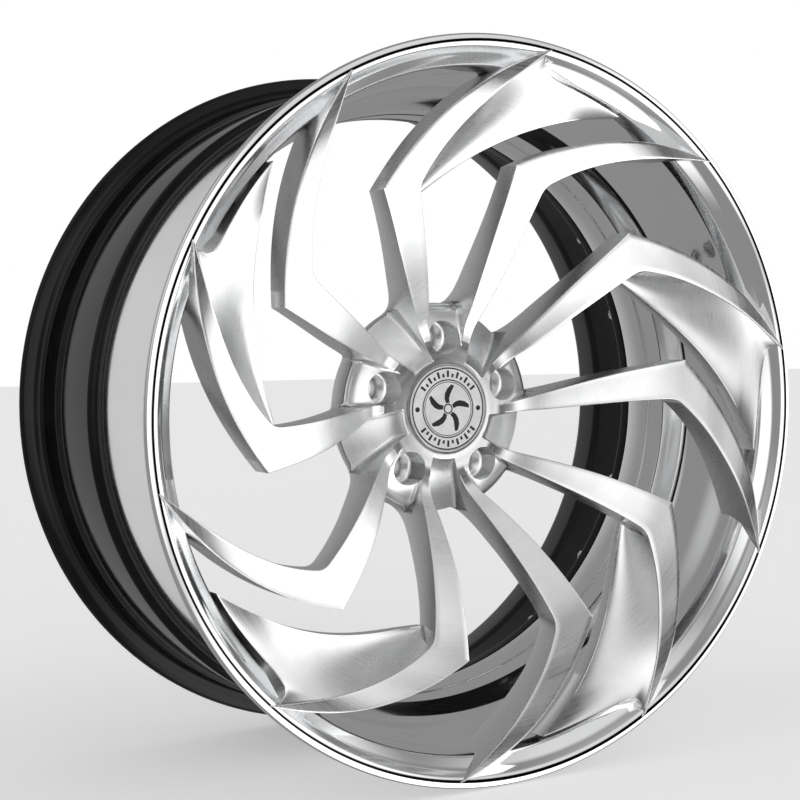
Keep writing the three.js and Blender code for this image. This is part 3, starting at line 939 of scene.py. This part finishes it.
def knurled_cap():
    """The valve cap: a domed end, a knurled grip and an open mouth."""
    count = 72
    angles = np.arange(count) * 2 * math.pi / count
    knurl = np.cos(angles * 18)
    rows = []
    for radius, height, cut in ((0.02, 231.25, 0), (3.4, 231.25, 0), (4.7, 231.6, 0), (5.2, 232.3, 0),
                                (5.35, 233.2, 0.18), (5.35, 244.4, 0.18), (5.2, 245.2, 0),
                                (5.45, 245.6, 0), (5.55, 246.2, 0), (5.45, 247.3, 0), (5.2, 247.45, 0),
                                (4.6, 247.45, 0), (4.45, 247.1, 0), (4.45, 234.6, 0), (4.0, 234.25, 0),
                                (0.02, 234.25, 0)):
        reach = radius + cut * knurl
        rows.append(np.stack([reach * np.cos(angles),
                              reach * np.sin(angles) + FLANGE_PLANE + VALVE_DEPTH,
                              np.full(count, height)], -1))
    points = np.array(rows) * MM
    return turn(points, VALVE_ANGLE), grid_faces(len(rows), count, True, True)


valve_cap = make("valve_cap_finished", [knurled_cap()], 40.0)
finish_piece(valve_cap, "valve_cap", ["valve_cap"], NICKEL)

# ---- Floor, light and camera ----

FLOOR_LEVEL = -0.2998


def stage_material(name, tone, rough):
    m = Nodes(name, Metallic=0.0, Roughness=rough, Emission_Strength=0.38)
    spot = m.coordinates()[0]
    cloud = m.noise(spot, 1.5, 4.0, 0.5)
    m.link(m.mix(m.spread(cloud, 0.3, 0.7, 0.0, 1.0), grey(tone), grey(tone * 0.985)), "Base Color")
    return m.material


floor = make("floor", [(np.array([
    (-9, -9, FLOOR_LEVEL), (9, -9, FLOOR_LEVEL), (9, 9, FLOOR_LEVEL), (-9, 9, FLOOR_LEVEL)]),
    [(0, 1, 2, 3)])])
floor.data.materials.append(stage_material("floor_paper", 0.9, 0.8))
floor.visible_glossy = False


def toward(azimuth, elevation):
    """A unit direction; azimuth 0 is the street side and 90 is +X."""
    a, e = math.radians(azimuth), math.radians(elevation)
    return Vector((math.sin(a) * math.cos(e), -math.cos(a) * math.cos(e), math.sin(e)))


def studio(panels, base, seen=1.0):
    """A studio of soft panels (azimuth, elevation, core, reach, strength) round a white sweep.

    Core and reach are degrees from the panel's middle, where it starts to fade and where it ends.
    A negative strength is a dark gap, and the sum never falls below black.
    """
    world = bpy.data.worlds.new("studio")
    bpy.context.scene.world = world
    world.use_nodes = True
    tree = world.node_tree
    direction = tree.nodes.new("ShaderNodeTexCoord").outputs["Generated"]
    total = None
    for azimuth, elevation, core, reach, strength in panels:
        dot = tree.nodes.new("ShaderNodeVectorMath")
        dot.operation = "DOT_PRODUCT"
        tree.links.new(direction, dot.inputs[0])
        dot.inputs[1].default_value = toward(azimuth, elevation)
        edge = tree.nodes.new("ShaderNodeMapRange")
        edge.interpolation_type = "SMOOTHSTEP"
        tree.links.new(dot.outputs["Value"], edge.inputs["Value"])
        edge.inputs["From Min"].default_value = math.cos(math.radians(reach))
        edge.inputs["From Max"].default_value = math.cos(math.radians(core))
        edge.inputs["To Min"].default_value = 0.0
        edge.inputs["To Max"].default_value = strength
        if total is None:
            total = edge.outputs[0]
            continue
        add = tree.nodes.new("ShaderNodeMath")
        tree.links.new(total, add.inputs[0])
        tree.links.new(edge.outputs[0], add.inputs[1])
        total = add.outputs[0]
    lit = tree.nodes.new("ShaderNodeMath")
    lit.inputs[1].default_value = base
    tree.links.new(total, lit.inputs[0])
    kept = tree.nodes.new("ShaderNodeMath")
    kept.operation = "MAXIMUM"
    kept.inputs[1].default_value = 0.0
    tree.links.new(lit.outputs[0], kept.inputs[0])
    path = tree.nodes.new("ShaderNodeLightPath")
    pick = tree.nodes.new("ShaderNodeMix")
    tree.links.new(path.outputs["Is Camera Ray"], pick.inputs[0])
    tree.links.new(kept.outputs[0], pick.inputs[2])
    pick.inputs[3].default_value = seen
    background = tree.nodes["Background"]
    background.inputs[0].default_value = (1.0, 1.0, 1.0, 1.0)
    tree.links.new(pick.outputs[0], background.inputs[1])
    return world


studio([
    (68, 0, 14, 40, 1.4),  # large panel, front right
    (-20, 5, 10, 34, 1.2),  # front left
    (20, 40, 10, 40, 0.5),  # high in front
    (25, -42, 12, 38, 1.9),  # low fill in front
    (-90, 33, 10, 40, 0.4),  # high on the left
    (-175, 0, 10, 35, 0.35),  # behind
    (27, 2, 10, 27, -1.2),  # dark gap between the panels, which the polished lip mirrors
], 0.28)

camera_data = bpy.data.cameras.new("camera")
camera = bpy.data.objects.new("camera", camera_data)
bpy.context.scene.collection.objects.link(camera)
bpy.context.scene.camera = camera
camera_data.sensor_width = 36
camera_data.lens = 76.59
camera_data.shift_x = -0.15  # less than the best match, to cut off less of the wheel in other views
camera.matrix_world = Matrix((
    (0.84034, 0.02718, -0.54137, -0.7223),
    (-0.54204, 0.03602, -0.83958, -1.2907),
    (-0.00332, 0.99898, 0.04501, 0.0714),
    (0, 0, 0, 1),
))
camera_data.clip_start = 0.02
camera_data.clip_end = 50

bpy.context.scene.view_settings.view_transform = "Standard"
bpy.context.view_layer.update()
